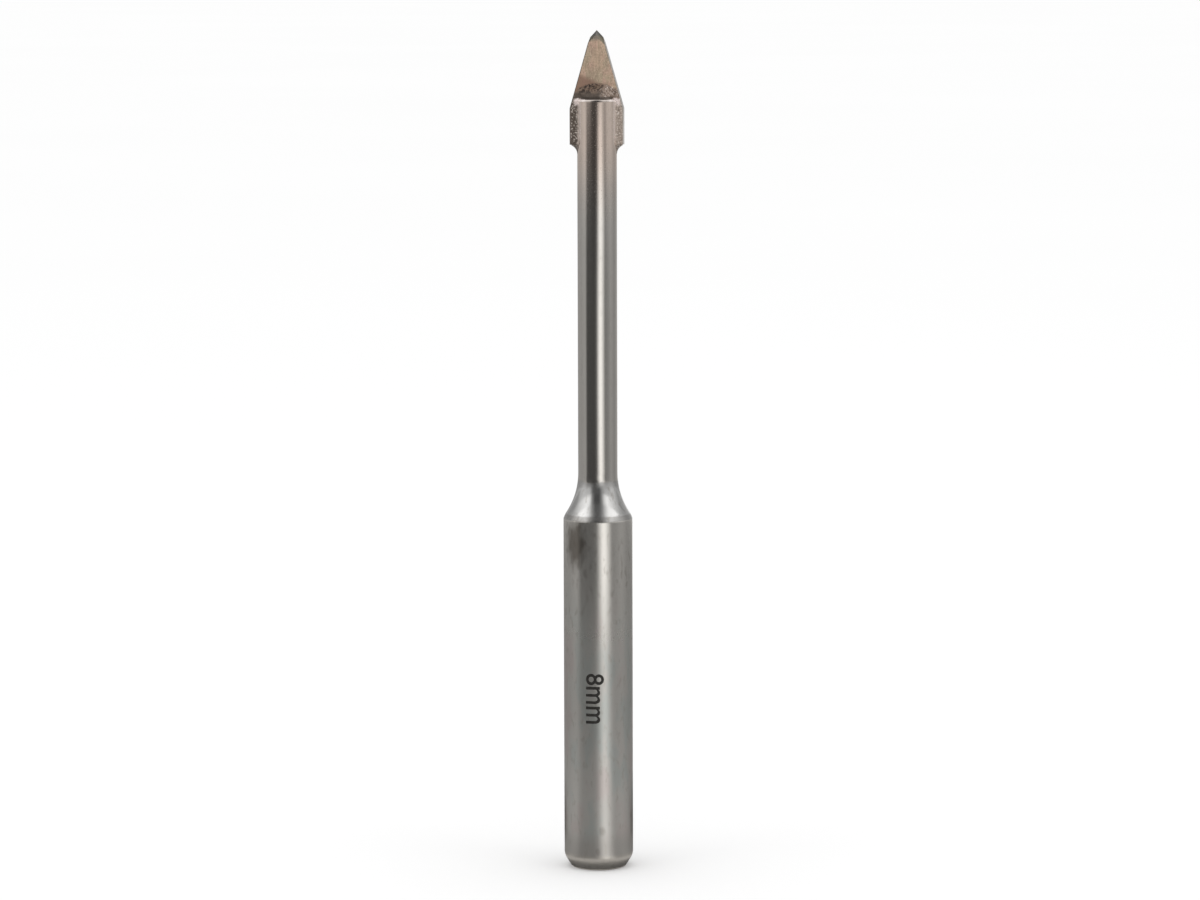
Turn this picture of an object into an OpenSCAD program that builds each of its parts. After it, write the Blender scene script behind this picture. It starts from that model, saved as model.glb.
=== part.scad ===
// Spear-point drill bit for glass and tile.
// A slotted steel body, turned from one bar, carries a carbide plate that is
// brazed into its slot. The bit stands on the flat end of its shank, with the
// point up along +Z. All sizes are in millimetres.

/* [Overall] */
// Length from the flat end of the shank to the point
overall_length = 121.4; // [105:0.2:140]

/* [Shank] */
// Diameter that the drill chuck holds
shank_d = 10; // [9:0.1:11]
// Length from the flat end to the shoulder
shank_length = 51.15; // [35:0.05:58]
// Height of the chamfer on the flat end
end_chamfer_height = 1.66; // [0.8:0.02:2.4]
// Slope of the end chamfer, measured from the axis
end_chamfer_angle = 33; // [20:1:45]
// Radius that blends the end chamfer into the shank
end_blend_radius = 2.2; // [0.6:0.1:3]
// Radius on the rim of the flat end
end_rim_radius = 0.25; // [0.1:0.05:0.4]

/* [Shoulder and neck] */
// Diameter of the slim neck
neck_d = 5.7; // [5:0.1:6.4]
// Radius of the flare between neck and shoulder
flare_radius = 10.5; // [5:0.1:16]
// Radial width of the shoulder's chamfer
shoulder_width = 0.34; // [0.2:0.02:0.8]
// Height of the shoulder's chamfer
shoulder_height = 0.75; // [0.5:0.05:1.5]
// Radius that blends the shoulder into the shank
shoulder_blend_radius = 1; // [0.3:0.1:2]
// Chamfer on the end of the neck
neck_chamfer = 0.2; // [0.1:0.02:0.35]

/* [Carbide plate] */
// Diameter that the bit cuts, corner to corner across the wings
cut_d = 8; // [7.4:0.1:9]
// Length of the plate, from its foot in the slot to the point
plate_length = 16.3; // [15:0.1:20]
// Thickness of the plate
plate_thick = 1.6; // [1.2:0.1:2]
// Angle between the two long edges of the spear
spear_angle = 31.7; // [28:0.1:38]
// Angle between the two short edges at the point
point_angle = 86; // [70:1:110]
// Width of the plate where the point meets the spear
point_width = 2.2; // [1.4:0.1:3]
// Relief behind the spear's edges and the wings
edge_relief = 8; // [4:1:14]
// Slope of the point's trailing facets, measured across the plate
point_relief = 37; // [25:1:45]
// Slope of the point's leading facets, measured across the plate
point_lead = 24; // [12:1:35]
// Honed land along each cutting edge, measured on the plate's face
edge_land = 0.1; // [0.04:0.02:0.2]

/* [Seat and braze] */
// Depth to which the neck holds the plate
seat_depth = 6.5; // [4.5:0.1:8]
// Thickness of the braze between plate and slot
braze_film = 0.08; // [0.04:0.02:0.2]
// Width of the braze fillet on neck and wing, from their corner
fillet_width = 0.6; // [0.3:0.05:0.8]
// Height of the braze heel under each wing
heel_height = 1.3; // [0.8:0.1:1.8]
// Set-back of the heel from the plate's edges and faces
heel_inset = 0.24; // [0.2:0.02:0.4]
// Angle at which the hollow braze runs out onto its neighbours
wetting_angle = 8; // [4:1:14]
// Height of the braze pool on the neck's end, at the plate
pool_height = 2.2; // [1:0.1:3]
// Angle by which the pool bulges past a straight cone
pool_bulge = 16; // [6:1:24]
// Set-back of the pool from the chamfer of the neck's end
pool_inset = 0.1; // [0.04:0.02:0.4]

/* [Hidden] */
$fn = 96;

shank_r = shank_d / 2;
neck_r = neck_d / 2;
half_thick = plate_thick / 2;
half_slot = half_thick + braze_film;

// Half width of a plate whose leading corners lie on the cutting circle
wing_x = sqrt(pow(cut_d / 2, 2) - pow(half_thick, 2));
point_x = point_width / 2;
spear_lean = spear_angle / 2;
point_lean = point_angle / 2;

// Heights along the axis, from the point downwards
point_foot_z = overall_length - point_x / tan(point_lean);
wing_top_z = point_foot_z - (wing_x - point_x) / tan(spear_lean);
plate_foot_z = overall_length - plate_length;
slot_floor_z = plate_foot_z - braze_film;
neck_end_z = plate_foot_z + seat_depth;
neck_rim_z = neck_end_z - neck_chamfer;

// The turned profile, from the flat end upwards
end_face_r = shank_r - end_chamfer_height * tan(end_chamfer_angle);
flare_foot_r = shank_r - shoulder_width;
flare_foot_z = shank_length + shoulder_height;
flare_step = flare_foot_r - neck_r;
flare_top_z = flare_foot_z + sqrt(pow(flare_radius, 2) - pow(flare_radius - flare_step, 2));

// Radius of the braze pool on the neck's end
pool_r = neck_r - neck_chamfer - pool_inset;

end_rim = [end_face_r, 0];
end_corner = [shank_r, end_chamfer_height];
shoulder_corner = [shank_r, shank_length];
flare_foot = [flare_foot_r, flare_foot_z];

// A cutter that is larger than any part of the plate
cutter = 4 * cut_d;

function unit(v) = v / norm(v);

// Circle through two points that is centred on the right of the straight way
// between them and leaves that way by the given angle
module arc_through(from, to, bend) {
    way = to - from;
    half_way = norm(way) / 2;
    translate((from + to) / 2 + unit([way.y, -way.x]) * half_way / tan(bend))
        circle(r = half_way / sin(bend));
}

// What a rounding takes off the convex corner between two neighbouring points
module corner_scrap(corner, before, after, radius) {
    to_before = unit(before - corner);
    to_after = unit(after - corner);
    half_angle = acos(to_before * to_after) / 2;
    tangent = radius / tan(half_angle);
    difference() {
        polygon([corner, corner + to_before * tangent, corner + to_after * tangent]);
        translate(corner + unit(to_before + to_after) * radius / sin(half_angle))
            circle(r = radius);
    }
}

// Half of the turned outline, from the axis outwards
module turned_profile() {
    difference() {
        polygon([
            [0, 0],
            end_rim,
            end_corner,
            shoulder_corner,
            flare_foot,
            [flare_foot_r, flare_top_z],
            [neck_r, flare_top_z],
            [neck_r, neck_rim_z],
            [neck_r - neck_chamfer, neck_end_z],
            [0, neck_end_z]
        ]);
        translate([neck_r + flare_radius, flare_top_z])
            circle(r = flare_radius);
        corner_scrap(end_rim, [0, 0], end_corner, end_rim_radius);
        corner_scrap(end_corner, end_rim, shoulder_corner, end_blend_radius);
        corner_scrap(shoulder_corner, end_corner, flare_foot, shoulder_blend_radius);
    }
}

// The straight slot that takes the plate, sawn across the neck's end
module plate_slot() {
    translate([-neck_d, -half_slot, slot_floor_z])
        cube([2 * neck_d, 2 * half_slot, 2 * seat_depth]);
}

module steel_body() {
    color([0.56, 0.55, 0.53])
        difference() {
            rotate_extrude()
                turned_profile();
            plate_slot();
        }
}

// Half space beyond a plane that leans in from a point: lean tips its normal up
// from +X, and relief turns it towards -Y
module beyond_edge(at, lean, relief) {
    translate(at)
        rotate([0, -lean, 0])
            rotate([0, 0, -relief])
                translate([0, -cutter / 2, -cutter / 2])
                    cube(cutter);
}

// Half space that hones a land on a cutting edge of the plate's leading face
module beyond_land(at, lean) {
    back_off = edge_land * [cos(lean), 0, sin(lean)];
    beyond_edge(at - back_off, lean, -45);
}

// What is ground off one half of the plate: the relief behind each edge and the
// honed land in front of it. The half at +X cuts with its face at +Y.
module ground_off_half() {
    wing_edge = [wing_x, half_thick, wing_top_z];
    point = [0, 0, overall_length];
    beyond_edge(wing_edge, 0, edge_relief);
    beyond_edge(wing_edge, spear_lean, edge_relief);
    beyond_land(wing_edge, spear_lean);
    beyond_edge(point, point_lean, point_relief);
    beyond_edge(point, point_lean, -point_lead);
}

module plate_blank() {
    translate([-cut_d / 2, -half_thick, plate_foot_z])
        cube([cut_d, plate_thick, overall_length - plate_foot_z]);
}

module carbide_tip() {
    color([0.6, 0.52, 0.45])
        difference() {
            plate_blank();
            for (turn = [0, 180])
                rotate([0, 0, turn])
                    ground_off_half();
        }
}

// Section of the fillet in one corner between neck and wing, filled in to the
// axis. Its hollow arc starts and ends one film under their faces, and so runs
// out onto them.
module fillet_section() {
    corner_turn = asin(half_thick / neck_r);
    reach_turn = corner_turn + fillet_width / neck_r * 180 / PI;
    on_wing = [neck_r * cos(corner_turn) + fillet_width, half_thick - braze_film];
    on_neck = (neck_r - braze_film) * [cos(reach_turn), sin(reach_turn)];
    slope = atan2(on_neck.y - on_wing.y, on_wing.x - on_neck.x);
    difference() {
        polygon([[0, 0], [on_wing.x, 0], on_wing, on_neck]);
        arc_through(on_wing, on_neck, slope - wetting_angle);
    }
}

// Section of all that the braze fills and surrounds: the slot with the films
// beside the plate, the heels under the wings and the fillets in the corners
module seat_section() {
    square([2 * pool_r, 2 * (half_slot + braze_film)], center = true);
    square([cut_d, 2 * (half_thick - heel_inset)], center = true);
    for (flip_x = [0, 1], flip_y = [0, 1])
        mirror([flip_x, 0, 0])
            mirror([0, flip_y, 0])
                fillet_section();
}

// The seat's outer form: hollow heels that rise out of the neck to the wings,
// and upright from there to the rim of the neck's end
module seat_form() {
    foot = [neck_r - braze_film, plate_foot_z - heel_height];
    top = [wing_x - heel_inset, plate_foot_z];
    slope = atan2(top.x - foot.x, top.y - foot.y);
    intersection() {
        rotate_extrude()
            difference() {
                polygon([[0, foot.y], foot, top, [top.x, neck_rim_z], [0, neck_rim_z]]);
                arc_through(foot, top, slope - wetting_angle);
            }
        translate([0, 0, foot.y])
            linear_extrude(neck_rim_z - foot.y)
                seat_section();
    }
}

// Bulged pool on the neck's end, with its root in the slot
module pool_form() {
    root = 2 * neck_chamfer;
    translate([0, 0, neck_end_z])
        rotate_extrude()
            intersection() {
                translate([0, -root])
                    square([pool_r, root + pool_height]);
                arc_through([half_thick, pool_height], [pool_r, 0], pool_bulge);
            }
}

// The braze is what is left of those forms beside the steel and the plate
module braze_joint() {
    color([0.46, 0.38, 0.32])
        difference() {
            union() {
                seat_form();
                pool_form();
            }
            steel_body();
            translate([-cut_d, -half_thick, plate_foot_z])
                cube([2 * cut_d, plate_thick, plate_length]);
        }
}

steel_body();
carbide_tip();
braze_joint();
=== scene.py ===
# Glass and tile drill bit: the dressed pieces, their finishes and the studio.
# Each piece is modelled in millimetres and turned into metres when it is done.
import math
import random
from collections import Counter, defaultdict

import bpy
from mathutils import Matrix, Vector


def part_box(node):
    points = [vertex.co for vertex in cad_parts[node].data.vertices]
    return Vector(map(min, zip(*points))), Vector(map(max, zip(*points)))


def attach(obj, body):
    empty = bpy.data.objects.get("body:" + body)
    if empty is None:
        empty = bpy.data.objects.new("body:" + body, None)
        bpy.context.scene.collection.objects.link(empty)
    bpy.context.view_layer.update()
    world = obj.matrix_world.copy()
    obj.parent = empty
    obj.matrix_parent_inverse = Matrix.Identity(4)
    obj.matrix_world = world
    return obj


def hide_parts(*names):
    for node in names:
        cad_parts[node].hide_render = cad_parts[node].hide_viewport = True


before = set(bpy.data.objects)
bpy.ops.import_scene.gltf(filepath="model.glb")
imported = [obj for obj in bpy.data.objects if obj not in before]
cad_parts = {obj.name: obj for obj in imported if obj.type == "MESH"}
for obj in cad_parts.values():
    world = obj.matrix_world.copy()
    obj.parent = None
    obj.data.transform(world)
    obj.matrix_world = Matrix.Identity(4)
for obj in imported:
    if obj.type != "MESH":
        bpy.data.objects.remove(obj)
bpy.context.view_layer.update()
bpy.ops.object.select_all(action="DESELECT")

MM = 0.001
_, steel_high = [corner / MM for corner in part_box("steel_body")]
plate_low, plate_high = [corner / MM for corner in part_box("carbide_tip")]

# Sizes that the frame gives
SHANK_R = steel_high.x
NECK_END_Z = steel_high.z
PLATE_FOOT_Z = plate_low.z
POINT_Z = plate_high.z
WING_X = plate_high.x
HALF_THICK = plate_high.y

# Turned outline of the steel body
SHANK_LENGTH = 51.15
END_CHAMFER_HEIGHT = 1.66
END_CHAMFER_ANGLE = math.radians(33)
END_BLEND_R = 2.2
END_RIM_R = 0.25
NECK_R = 2.85
NECK_EDGE_R = 0.32
SHOULDER_WIDTH = 0.34
SHOULDER_HEIGHT = 0.75
SHOULDER_BLEND_R = 1.0
FLARE_R = 10.5
FLARE_FOOT_R = SHANK_R - SHOULDER_WIDTH
FLARE_FOOT_Z = SHANK_LENGTH + SHOULDER_HEIGHT
FLARE_RISE = math.sqrt(FLARE_R**2 - (FLARE_R - FLARE_FOOT_R + NECK_R)**2)
FLARE_TOP_Z = FLARE_FOOT_Z + FLARE_RISE

# Steps round the body and along each rounding, and the width of the rings that hold straight walls
ROUND_STEPS = 192
END_RIM_STEPS = 4
END_BLEND_STEPS = 10
SHOULDER_STEPS = 8
FLARE_STEPS = 24
NECK_EDGE_STEPS = 8
RING_HOLD = 0.1

# Grinding of the carbide plate
SPEAR_LEAN = math.radians(31.7 / 2)
POINT_LEAN = math.radians(86 / 2)
POINT_X = 1.1
EDGE_RELIEF = math.radians(8)
POINT_RELIEF = math.radians(37)
POINT_LEAD = math.radians(24)
LAND_TURN = math.radians(45)
EDGE_LAND = 0.1
EDGE_BEVEL = 0.02
EDGE_BEVEL_STEPS = 2
BLANK_MARGIN = 1
POINT_FOOT_Z = POINT_Z - POINT_X / math.tan(POINT_LEAN)
WING_TOP_Z = POINT_FOOT_Z - (WING_X - POINT_X) / math.tan(SPEAR_LEAN)

# Braze round the plate
BRAZE_FILM = 0.08
FILLET_R = 1.12
FILLET_SINK = 0.08
FILLET_ROOT_SHARE = 0.8
FILLET_HOLLOW_LENGTH = 10
HEEL_HEIGHT = 1.35
HEEL_INSET = 0.24
HEEL_ROOT = 0.6
HEEL_LAP = 0.3
HEEL_HOLLOW_LENGTH = 4
HOLLOW_STEPS = 96
POOL_R = 2.55
POOL_HEIGHT = 2.25
APRON_X = 3.8
APRON_DEPTH = 0.42
APRON_DROP = 0.35
APRON_FOOT_Z = NECK_END_Z - APRON_DROP
LEADING_INSET = 0.12
TRAILING_INSET = 0.28
SKIN_ROOT = 0.4
SKIN_SINK = 0.15
SKIN_DEPTH = 0.03
SKIN_FOOT_GAP = 0.05
SKIN_TOP_GAP = 0.1

# Melting of the braze into one skin
BALL_STEPS = 96
LUMP_SIZE = 0.7
LUMP_DEPTH = 0.35
BRAZE_VOXEL = 0.06
MELT_FACTOR = 0.5
MELT_ROUNDS = 2
SLIVER = 0.006
MERGE_ROUNDS = 4

# Beads on the braze: how many, their sizes, and where they lie
BEAD_SEED = 8
BEAD_STEPS = 2
BEAD_FLATNESS = 0.75
WING_BEADS = 125
WING_BEAD_SIZES = (0.07, 0.17)
WING_BEAD_FOOT_GAP = 0.15
WING_BEAD_EDGE_GAP = 0.06
FILLET_BEADS = 60
FILLET_BEAD_SIZES = (0.06, 0.14)
FILLET_BEAD_TURNS = (-90, -150)
FILLET_BEAD_HEIGHTS = (PLATE_FOOT_Z + 0.1, NECK_END_Z - 0.3)

# Lumps on the pool: to the left of a face's middle, out from the plate's middle and above the neck's end
SLAG_LUMPS = 14
SLAG_SIZES = (0.18, 0.36)
SLAG_REACH = ((-0.9, 1.5), (0.85, 1.05), (1.0, 1.9))
CRUMBS = 45
CRUMB_SIZES = (0.09, 0.2)
CRUMB_REACH = ((-3.1, -0.6), (0.85, 1.5), (0.1, 1.3))

# Size mark on the shank
MARK_TOP_Z = 29.13
MARK_FOOT_X = -1.8
MARK_DEPTH = 0.012
MARK_STRIP = 0.12
MARK_WEIGHT = 0.01
# Each letter with its place down the shank, its width down the shank and its height across it
MARK_LETTERS = (("8", 0.0, 1.65, 2.6), ("m", 1.9, 2.5, 2.05), ("m", 4.8, 2.5, 2.05))

# Angles in degrees above which an edge stays sharp
SHARP_ANGLE = 20
BRAZE_SHARP_ANGLE = 60


# Tools for shaping a mesh

def select_only(piece):
    bpy.ops.object.select_all(action="DESELECT")
    piece.select_set(True)
    bpy.context.view_layer.objects.active = piece


def edit(piece):
    """Takes one piece into edit mode with all of it selected."""
    select_only(piece)
    bpy.ops.object.mode_set(mode="EDIT")
    bpy.ops.mesh.select_all(action="SELECT")


def stop_editing():
    bpy.ops.object.mode_set(mode="OBJECT")


def block(name, low, high):
    """Cube between two corners, with its place in its mesh."""
    low, high = Vector(low), Vector(high)
    bpy.ops.mesh.primitive_cube_add(size=1, location=(low + high) / 2, scale=high - low)
    bpy.ops.object.transform_apply()
    piece = bpy.context.object
    piece.name = name
    return piece


def cut_off(at, outwards):
    """Cuts the edited piece at a plane, drops what lies beyond it and closes the cut."""
    bpy.ops.mesh.select_all(action="SELECT")
    bpy.ops.mesh.bisect(plane_co=at, plane_no=outwards, use_fill=True, clear_outer=True)


def apply_modifier(piece, kind, **settings):
    select_only(piece)
    modifier = piece.modifiers.new(kind.lower(), kind)
    for key, value in settings.items():
        setattr(modifier, key, value)
    bpy.ops.object.modifier_apply(modifier=modifier.name)


def take_out(piece, tool):
    """Takes the volume of another piece out of this one."""
    apply_modifier(piece, "BOOLEAN", object=tool, operation="DIFFERENCE", solver="MANIFOLD")


def join_all(pieces, name):
    bpy.ops.object.select_all(action="DESELECT")
    for piece in pieces:
        piece.select_set(True)
    bpy.context.view_layer.objects.active = pieces[0]
    bpy.ops.object.join()
    bpy.ops.object.transform_apply()
    joined = bpy.context.object
    joined.name = name
    return joined


def delete_faces(piece, unwanted):
    """Deletes the faces whose numbers are given."""
    edit(piece)
    bpy.ops.mesh.select_mode(type="FACE")
    bpy.ops.mesh.select_all(action="DESELECT")
    stop_editing()
    for number in unwanted:
        piece.data.polygons[number].select = True
    bpy.ops.object.mode_set(mode="EDIT")
    bpy.ops.mesh.delete(type="FACE")
    bpy.ops.mesh.select_mode(type="VERT")
    stop_editing()


def merge_slivers(piece):
    """Merges points that fall together, and deletes faces that lie on each other or have no area."""
    for _ in range(MERGE_ROUNDS):
        edit(piece)
        bpy.ops.mesh.quads_convert_to_tris()
        bpy.ops.mesh.remove_doubles(threshold=SLIVER)
        bpy.ops.mesh.dissolve_degenerate(threshold=SLIVER)
        stop_editing()
    edit(piece)
    bpy.ops.mesh.quads_convert_to_tris()
    stop_editing()
    corners = [frozenset(face.vertices) for face in piece.data.polygons]
    repeats = Counter(corners)
    delete_faces(piece, [number for number, own in enumerate(corners) if repeats[own] > 1])


def keep_main_shell(piece, at):
    """Deletes the faces that no walk over shared edges reaches from the face nearest to a place."""
    faces = piece.data.polygons
    sharers = defaultdict(list)
    for face in faces:
        for edge in face.edge_keys:
            sharers[edge].append(face.index)
    nearest = min(faces, key=lambda face: (face.center - Vector(at)).length)
    reached = {nearest.index}
    front = [nearest.index]
    while front:
        for edge in faces[front.pop()].edge_keys:
            if len(sharers[edge]) == 2:
                fresh = set(sharers[edge]) - reached
                reached |= fresh
                front.extend(fresh)
    delete_faces(piece, set(range(len(faces))) - reached)


def copy_of(piece):
    twin = piece.copy()
    twin.data = piece.data.copy()
    bpy.context.collection.objects.link(twin)
    return twin


def finish_piece(piece, material, smooth_angle):
    """Turns millimetres into metres, points faces outwards and gives the finish."""
    edit(piece)
    bpy.ops.transform.resize(value=(MM, MM, MM), center_override=(0, 0, 0))
    bpy.ops.mesh.normals_make_consistent(inside=False)
    stop_editing()
    bpy.ops.object.shade_smooth_by_angle(angle=math.radians(smooth_angle))
    piece.data.materials.clear()
    piece.data.materials.append(material)
    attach(piece, "root")


# Steel body

def arc(start, end, centre, steps):
    """Points from start to end about a centre."""
    first = start - centre
    turn = -first.angle_signed(end - centre)
    return [centre + Matrix.Rotation(turn * step / steps, 2) @ first for step in range(steps + 1)]


def rounded(before, corner, after, radius, steps):
    """Points along the rounding of a corner between two neighbours."""
    to_before = (before - corner).normalized()
    to_after = (after - corner).normalized()
    half_angle = to_before.angle(to_after) / 2
    tangent = radius / math.tan(half_angle)
    centre = corner + (to_before + to_after).normalized() * radius / math.sin(half_angle)
    return arc(corner + to_before * tangent, corner + to_after * tangent, centre, steps)


def turned_outline():
    """Radius and height of each ring, from the flat end up to the end of the neck."""
    end_centre = Vector((0, 0))
    end_rim = Vector((SHANK_R - END_CHAMFER_HEIGHT * math.tan(END_CHAMFER_ANGLE), 0))
    end_corner = Vector((SHANK_R, END_CHAMFER_HEIGHT))
    shoulder_corner = Vector((SHANK_R, SHANK_LENGTH))
    flare_foot = Vector((FLARE_FOOT_R, FLARE_FOOT_Z))
    flare_top = Vector((NECK_R, FLARE_TOP_Z))
    flare_centre = Vector((NECK_R + FLARE_R, FLARE_TOP_Z))
    neck_end = Vector((NECK_R, NECK_END_Z))
    neck_centre = Vector((0, NECK_END_Z))
    rim = rounded(end_centre, end_rim, end_corner, END_RIM_R, END_RIM_STEPS)
    blend = rounded(end_rim, end_corner, shoulder_corner, END_BLEND_R, END_BLEND_STEPS)
    shoulder = rounded(end_corner, shoulder_corner, flare_foot, SHOULDER_BLEND_R, SHOULDER_STEPS)
    flare = arc(flare_foot, flare_top, flare_centre, FLARE_STEPS)
    neck_edge = rounded(flare_top, neck_end, neck_centre, NECK_EDGE_R, NECK_EDGE_STEPS)
    hold = Vector((0, RING_HOLD))
    return [
        *rim,
        *blend,
        blend[-1] + hold,
        shoulder[0] - hold,
        *shoulder,
        *flare,
        flare[-1] + hold,
        neck_edge[0] - hold,
        *neck_edge,
    ]


def turn_steel_body():
    """Extrudes the round end ring by ring along the outline, then saws the slot."""
    outline = turned_outline()
    bpy.ops.mesh.primitive_circle_add(
        vertices=ROUND_STEPS, radius=outline[0].x, fill_type="NGON", location=(0, 0, outline[0].y)
    )
    body = bpy.context.object
    body.name = "ground_steel_body"
    bpy.ops.object.transform_apply()
    edit(body)
    for below, above in zip(outline, outline[1:]):
        rise = (0, 0, above.y - below.y)
        scale = above.x / below.x
        bpy.ops.mesh.extrude_region_move(TRANSFORM_OT_translate={"value": rise})
        bpy.ops.transform.resize(value=(scale, scale, 1), center_override=(0, 0, above.y))
    bpy.ops.mesh.select_all(action="SELECT")
    bpy.ops.mesh.normals_make_consistent(inside=False)
    stop_editing()
    half_slot = HALF_THICK + BRAZE_FILM
    slot_floor_z = PLATE_FOOT_Z - BRAZE_FILM
    saw = block("slot_saw", (-SHANK_R, -half_slot, slot_floor_z), (SHANK_R, half_slot, POINT_Z))
    take_out(body, saw)
    bpy.data.objects.remove(saw)
    return body


# Carbide plate

def facing(lean, relief):
    """Direction that leans up from +X and turns back towards -Y by the relief."""
    flat = math.cos(relief)
    return Vector((flat * math.cos(lean), -math.sin(relief), flat * math.sin(lean)))


def grind_carbide_plate():
    """Cuts a flat blank down by the relief of its wings, spear and point."""
    blank_x = WING_X + BLANK_MARGIN
    blank_low = (-blank_x, -HALF_THICK, PLATE_FOOT_Z)
    blank_high = (blank_x, HALF_THICK, POINT_Z + BLANK_MARGIN)
    plate = block("carbide_spear_plate", blank_low, blank_high)
    wing_edge = Vector((WING_X, HALF_THICK, WING_TOP_Z))
    land_edge = wing_edge - EDGE_LAND * facing(SPEAR_LEAN, 0)
    point = Vector((0, 0, POINT_Z))
    edit(plate)
    for turn in (0, math.pi):
        half_turn = Matrix.Rotation(turn, 3, "Z")
        for at, outwards in (
            (wing_edge, facing(0, EDGE_RELIEF)),
            (wing_edge, facing(SPEAR_LEAN, EDGE_RELIEF)),
            (land_edge, facing(SPEAR_LEAN, -LAND_TURN)),
            (point, facing(POINT_LEAN, POINT_RELIEF)),
            (point, facing(POINT_LEAN, -POINT_LEAD)),
        ):
            cut_off(half_turn @ at, half_turn @ outwards)
    stop_editing()
    return plate


# Braze

def braze_film():
    """Filling of the slot round the plate."""
    side = HALF_THICK + 2 * BRAZE_FILM
    foot_z = PLATE_FOOT_Z - 2 * BRAZE_FILM
    return block("film", (-POOL_R, -side, foot_z), (POOL_R, side, NECK_END_Z))


def scoop(piece, at, radius, length, turn=(0, 0, 0)):
    """Takes a round hollow out of a piece."""
    bpy.ops.mesh.primitive_cylinder_add(
        vertices=HOLLOW_STEPS, radius=radius, depth=length, location=at, rotation=turn
    )
    hollow = bpy.context.object
    take_out(piece, hollow)
    bpy.data.objects.remove(hollow)


def braze_heel(side):
    """Hollow heel that carries the foot of a wing down to the neck."""
    half_depth = HALF_THICK - HEEL_INSET
    foot_z = PLATE_FOOT_Z - HEEL_HEIGHT
    top_z = PLATE_FOOT_Z + HEEL_LAP
    inner_x, outer_x = sorted((side * (NECK_R - HEEL_ROOT), side * (WING_X - HEEL_INSET)))
    heel = block("heel", (inner_x, -half_depth, foot_z), (outer_x, half_depth, top_z))
    hollow_at = (side * (NECK_R + HEEL_HEIGHT), 0, foot_z)
    scoop(heel, hollow_at, HEEL_HEIGHT, HEEL_HOLLOW_LENGTH, (math.pi / 2, 0, 0))
    return heel


def fillet_hollow():
    """Middle of the hollow that runs out onto neck and wing, in the corner at +X and +Y."""
    hollow_y = HALF_THICK + FILLET_R - FILLET_SINK
    return Vector((math.sqrt((NECK_R + FILLET_R - FILLET_SINK)**2 - hollow_y**2), hollow_y, 0))


def braze_fillet(side, face):
    """Hollow fillet in one corner between neck and wing."""
    hollow_at = fillet_hollow()
    on_neck = hollow_at * NECK_R / (NECK_R + FILLET_R)
    top_z = NECK_END_Z - NECK_EDGE_R
    inner_x, outer_x = sorted((side * on_neck.x * FILLET_ROOT_SHARE, side * hollow_at.x))
    inner_y, outer_y = sorted((face * HALF_THICK / 2, face * on_neck.y))
    fillet = block("fillet", (inner_x, inner_y, PLATE_FOOT_Z), (outer_x, outer_y, top_z))
    middle_z = (PLATE_FOOT_Z + NECK_END_Z) / 2
    scoop(fillet, (side * hollow_at.x, face * hollow_at.y, middle_z), FILLET_R, FILLET_HOLLOW_LENGTH)
    return fillet


def edge_inset(side, face):
    """How far the braze stays inside a plate's edge: further where the edge is relieved."""
    return LEADING_INSET if side == face else TRAILING_INSET


def trim_at_spear(side, face):
    """Cuts the edited piece along one long edge of the spear."""
    edge = Vector((side * (WING_X - edge_inset(side, face)), 0, WING_TOP_Z))
    cut_off(edge, (side * math.cos(SPEAR_LEAN), 0, math.sin(SPEAR_LEAN)))


def braze_skin(side, face):
    """Thin skin over the flat of one wing, up to the neck's end."""
    edge_x = WING_X - edge_inset(side, face)
    inner_x, outer_x = sorted((side * (NECK_R - SKIN_ROOT), side * edge_x))
    inner_y, outer_y = sorted((face * (HALF_THICK - SKIN_SINK), face * (HALF_THICK + SKIN_DEPTH)))
    low = (inner_x, inner_y, PLATE_FOOT_Z + SKIN_FOOT_GAP)
    high = (outer_x, outer_y, NECK_END_Z - SKIN_TOP_GAP)
    skin = block("skin", low, high)
    edit(skin)
    trim_at_spear(side, face)
    stop_editing()
    return skin


def ball(name, at, radii):
    """Egg-shaped form, as a start for what melts together."""
    bpy.ops.mesh.primitive_uv_sphere_add(segments=BALL_STEPS, ring_count=BALL_STEPS // 2, radius=1)
    piece = bpy.context.object
    piece.name = name
    edit(piece)
    bpy.ops.transform.resize(value=radii, center_override=(0, 0, 0))
    bpy.ops.transform.translate(value=at)
    stop_editing()
    return piece


def make_lumpy(piece):
    """Gives an egg-shaped form the uneven skin of a melt."""
    lumps = bpy.data.textures.new("lumps", "CLOUDS")
    lumps.noise_scale = LUMP_SIZE
    apply_modifier(piece, "DISPLACE", texture=lumps, texture_coords="LOCAL", strength=LUMP_DEPTH)


def braze_pool():
    """Domed pool on the neck's end, with its root in the slot."""
    pool = ball("pool", (0, 0, NECK_END_Z), (POOL_R, POOL_R, POOL_HEIGHT))
    make_lumpy(pool)
    edit(pool)
    cut_off((0, 0, NECK_END_Z - 2 * NECK_EDGE_R), (0, 0, -1))
    stop_editing()
    return pool


def braze_apron(face):
    """Shallow run of braze up one face of the plate, past the sides of the pool."""
    rise = NECK_END_Z + POOL_HEIGHT - APRON_FOOT_Z
    at = (0, face * HALF_THICK, APRON_FOOT_Z)
    apron = ball("apron", at, (APRON_X, APRON_DEPTH, rise))
    make_lumpy(apron)
    edit(apron)
    cut_off((0, 0, APRON_FOOT_Z), (0, 0, -1))
    for side in (-1, 1):
        trim_at_spear(side, face)
    stop_editing()
    return apron


def scatter(bead, places, sizes, chance):
    """Copies of a bead at the given places, each of its own size and slightly flat."""
    beads = []
    for place in places:
        copy = copy_of(bead)
        size = chance.uniform(*sizes)
        copy.location = place
        copy.scale = (size, size * BEAD_FLATNESS, size)
        beads.append(copy)
    return beads


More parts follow.
